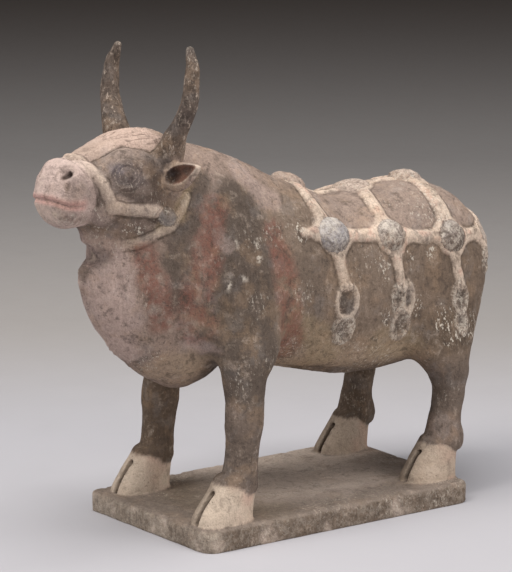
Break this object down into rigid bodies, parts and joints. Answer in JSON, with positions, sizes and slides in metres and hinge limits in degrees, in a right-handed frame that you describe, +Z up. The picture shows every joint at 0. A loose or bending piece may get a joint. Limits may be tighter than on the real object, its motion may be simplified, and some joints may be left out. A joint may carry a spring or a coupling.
{
  "type": "pottery ox figure",
  "caption": "Standing ox of painted grey pottery, bridled and harnessed with straps, bosses and pendants, made in one with its slab plinth; a display figure.",
  "frame": {"origin": "middle of the plinth's flat underside", "axes": "+Z up out of the plinth; the ox faces -Y, so its tail end is +Y; its left side is +X"},
  "size_m": [0.1558, 0.3875, 0.3505],
  "materials": {
    "fired_clay": "matt, with worn paint"
  },
  "bodies": {
    "root": {"ox_on_plinth": "fired_clay"}
  },
  "joints": []
}
